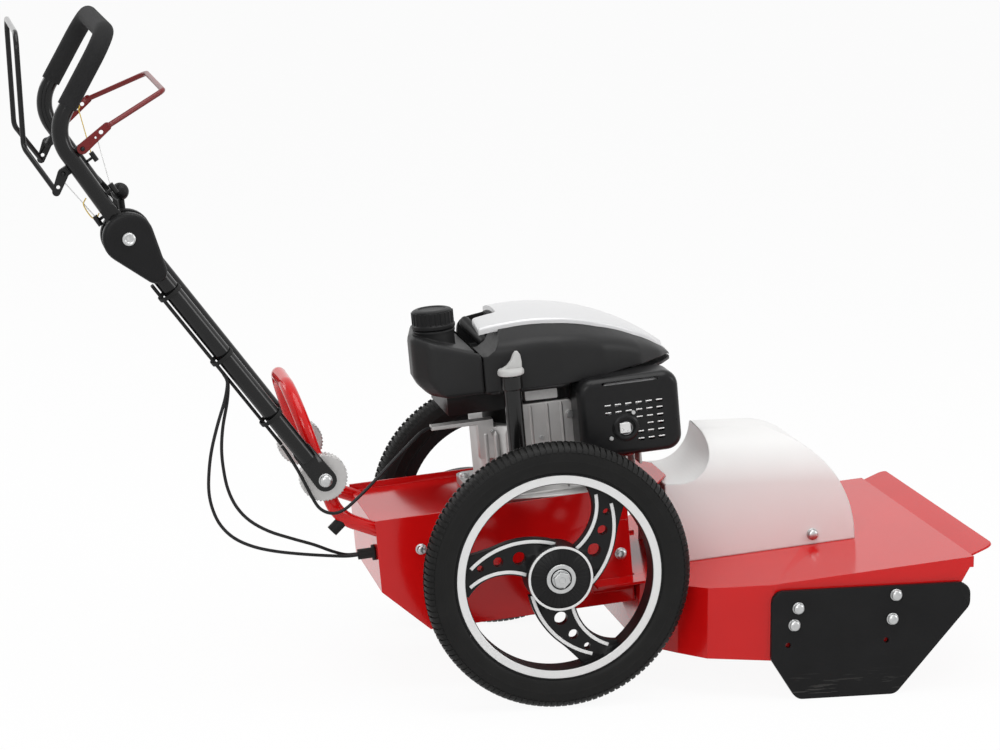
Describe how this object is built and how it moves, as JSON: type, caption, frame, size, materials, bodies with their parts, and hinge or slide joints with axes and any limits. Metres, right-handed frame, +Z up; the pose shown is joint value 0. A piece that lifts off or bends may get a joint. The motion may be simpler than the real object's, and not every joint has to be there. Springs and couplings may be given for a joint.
{
  "type": "wheeled string trimmer",
  "caption": "Walk-behind petrol string trimmer: wheeled steel chassis, skid-mounted deck with belt-driven line rotor, engine, folding handle with control bails.",
  "frame": {"origin": "on the ground, under the middle of the machine's bounding box without the loose cables", "axes": "+X forwards towards the deck's lip, +Y to the operator's left, +Z up"},
  "size_m": [1.451, 0.5826, 1.0265],
  "materials": {
    "red_paint": "gloss",
    "black_paint": "satin",
    "hood_white": "gloss",
    "zinc": "satin",
    "steel": "satin",
    "alloy": "cast",
    "cast_iron": "matte",
    "tyre_rubber": "matte",
    "wheel_plastic": "matte",
    "engine_plastic": "satin",
    "silver_plastic": "gloss",
    "grey_plastic": "satin",
    "rubber": "matte",
    "foam": "matte",
    "nylon": "satin"
  },
  "bodies": {
    "chassis": {"chassis_box": "red_paint", "deck": "red_paint", "skid_left": "black_paint", "skid_right": "black_paint", "body_bolts": "zinc", "belt_hood": "hood_white", "hoop": "red_paint", "hoop_discs": "alloy", "hoop_bumpers": "rubber", "cable_gland": "rubber", "gearbox": "alloy", "bearings": "steel", "spindle_housing": "alloy", "belts": "rubber", "crankcase": "alloy", "cylinder_block": "alloy", "carburettor": "alloy", "air_filter": "engine_plastic", "muffler": "steel", "muffler_guard": "black_paint", "blower_housing": "engine_plastic", "cowl": "engine_plastic", "cowl_panel": "silver_plastic", "fuel_tank": "engine_plastic", "oil_tube": "engine_plastic", "cable_cutter": "rubber", "cable_drive": "rubber", "cable_engine": "rubber"},
    "axle": {"axle": "steel", "hub_bolts": "zinc"},
    "wheel_left": {"tyre_left": "tyre_rubber", "wheel_left": "wheel_plastic"},
    "wheel_right": {"tyre_right": "tyre_rubber", "wheel_right": "wheel_plastic"},
    "crank": {"crankshaft": "steel", "flywheel": "cast_iron", "crank_pulley": "steel"},
    "gear_input": {"input_pulley": "steel"},
    "cutter": {"spindle": "steel", "spindle_pulley": "steel", "cutter_disc": "steel", "cutter_lines": "nylon", "glide_cup": "wheel_plastic"},
    "idler": {"idler": "steel"},
    "lower_handle": {"lower_tube_left": "black_paint", "lower_tube_right": "black_paint", "tube_discs": "alloy", "hinge_clamps": "wheel_plastic", "hinge_bolts": "zinc", "handle_sheaths": "rubber"},
    "clamp_lever": {"clamp_lever": "wheel_plastic"},
    "upper_handle": {"upper_tube": "black_paint", "foam_grip": "foam", "bail_wires": "steel"},
    "drive_bail": {"drive_bail": "black_paint"},
    "engine_bail": {"engine_bail": "red_paint"},
    "starter": {"starter_grip": "engine_plastic"},
    "fuel_cap": {"fuel_cap": "engine_plastic"},
    "oil_cap": {"oil_cap": "grey_plastic"}
  },
  "joints": [
    {"name": "crank_spin", "type": "hinge", "parent": "chassis", "child": "crank", "pos_m": [0.0943, 0, 0.20608], "axis": [-0.0906, 0, 0.9959], "continuous": true},
    {"name": "cutter_spin", "type": "hinge", "parent": "chassis", "child": "cutter", "pos_m": [0.44286, 0, 0.2378], "axis": [-0.0906, 0, 0.9959], "continuous": true},
    {"name": "gear_input_spin", "type": "hinge", "parent": "chassis", "child": "gear_input", "pos_m": [-0.00528, 0, 0.19701], "axis": [-0.0906, 0, 0.9959], "continuous": true},
    {"name": "axle_spin", "type": "hinge", "parent": "chassis", "child": "axle", "pos_m": [0.04949, 0, 0.202], "axis": [0, 1, 0], "continuous": true},
    {"name": "wheel_left_spin", "type": "hinge", "parent": "axle", "child": "wheel_left", "pos_m": [0.04949, 0.245, 0.202], "axis": [0, 1, 0], "continuous": true},
    {"name": "wheel_right_spin", "type": "hinge", "parent": "axle", "child": "wheel_right", "pos_m": [0.04949, -0.245, 0.202], "axis": [0, 1, 0], "continuous": true},
    {"name": "handle_height", "type": "hinge", "parent": "chassis", "child": "lower_handle", "pos_m": [-0.28451, 0, 0.341], "axis": [0, 1, 0], "range_deg": [-12, 18], "deforming": ["cable_cutter", "cable_drive", "cable_engine"]},
    {"name": "handle_fold", "type": "hinge", "parent": "lower_handle", "child": "upper_handle", "pos_m": [-0.57351, 0, 0.722], "axis": [0, 1, 0], "range_deg": [0, 110]},
    {"name": "clamp_lever_turn", "type": "hinge", "parent": "lower_handle", "child": "clamp_lever", "pos_m": [-0.57351, -0.1637, 0.722], "axis": [0, 1, 0], "range_deg": [0, 80]},
    {"name": "drive_bail_squeeze", "type": "hinge", "parent": "upper_handle", "child": "drive_bail", "pos_m": [-0.66228, 0, 0.81397], "axis": [0, 1, 0], "range_deg": [0, 28], "stiffness_Nm_per_rad": 1.2, "springref_deg": -20.05, "deforming": ["bail_wires"]},
    {"name": "engine_bail_squeeze", "type": "hinge", "parent": "upper_handle", "child": "engine_bail", "pos_m": [-0.63408, 0, 0.84894], "axis": [0, -1, 0], "range_deg": [0, 45], "stiffness_Nm_per_rad": 1.2, "springref_deg": -20.05, "deforming": ["bail_wires"]},
    {"name": "idler_tension", "type": "hinge", "parent": "chassis", "child": "idler", "pos_m": [0.19434, 0.105, 0.26539], "axis": [0.0906, 0, -0.9959], "range_deg": [0, 6]},
    {"name": "starter_pull", "type": "slide", "parent": "chassis", "child": "starter", "axis": [-0.6455, 0, 0.7638], "range_m": [0, 0.095], "stiffness_N_per_m": 25, "springref_m": -0.03},
    {"name": "fuel_cap_turn", "type": "hinge", "parent": "chassis", "child": "fuel_cap", "pos_m": [-0.10183, -0.06, 0.52963], "axis": [-0.0906, 0, 0.9959], "range_deg": [0, 90]},
    {"name": "oil_cap_turn", "type": "hinge", "parent": "chassis", "child": "oil_cap", "pos_m": [-0.00169, -0.15, 0.48854], "axis": [-0.0906, 0, 0.9959], "range_deg": [0, 90]}
  ],
  "couplings": [
    {"joint": "cutter_spin", "follows": "crank_spin", "ratio": 0.57143},
    {"joint": "gear_input_spin", "follows": "crank_spin", "ratio": 0.56},
    {"joint": "axle_spin", "follows": "crank_spin", "ratio": 0.018667},
    {"joint": "idler_tension", "follows": "engine_bail_squeeze", "ratio": 0.13333}
  ]
}
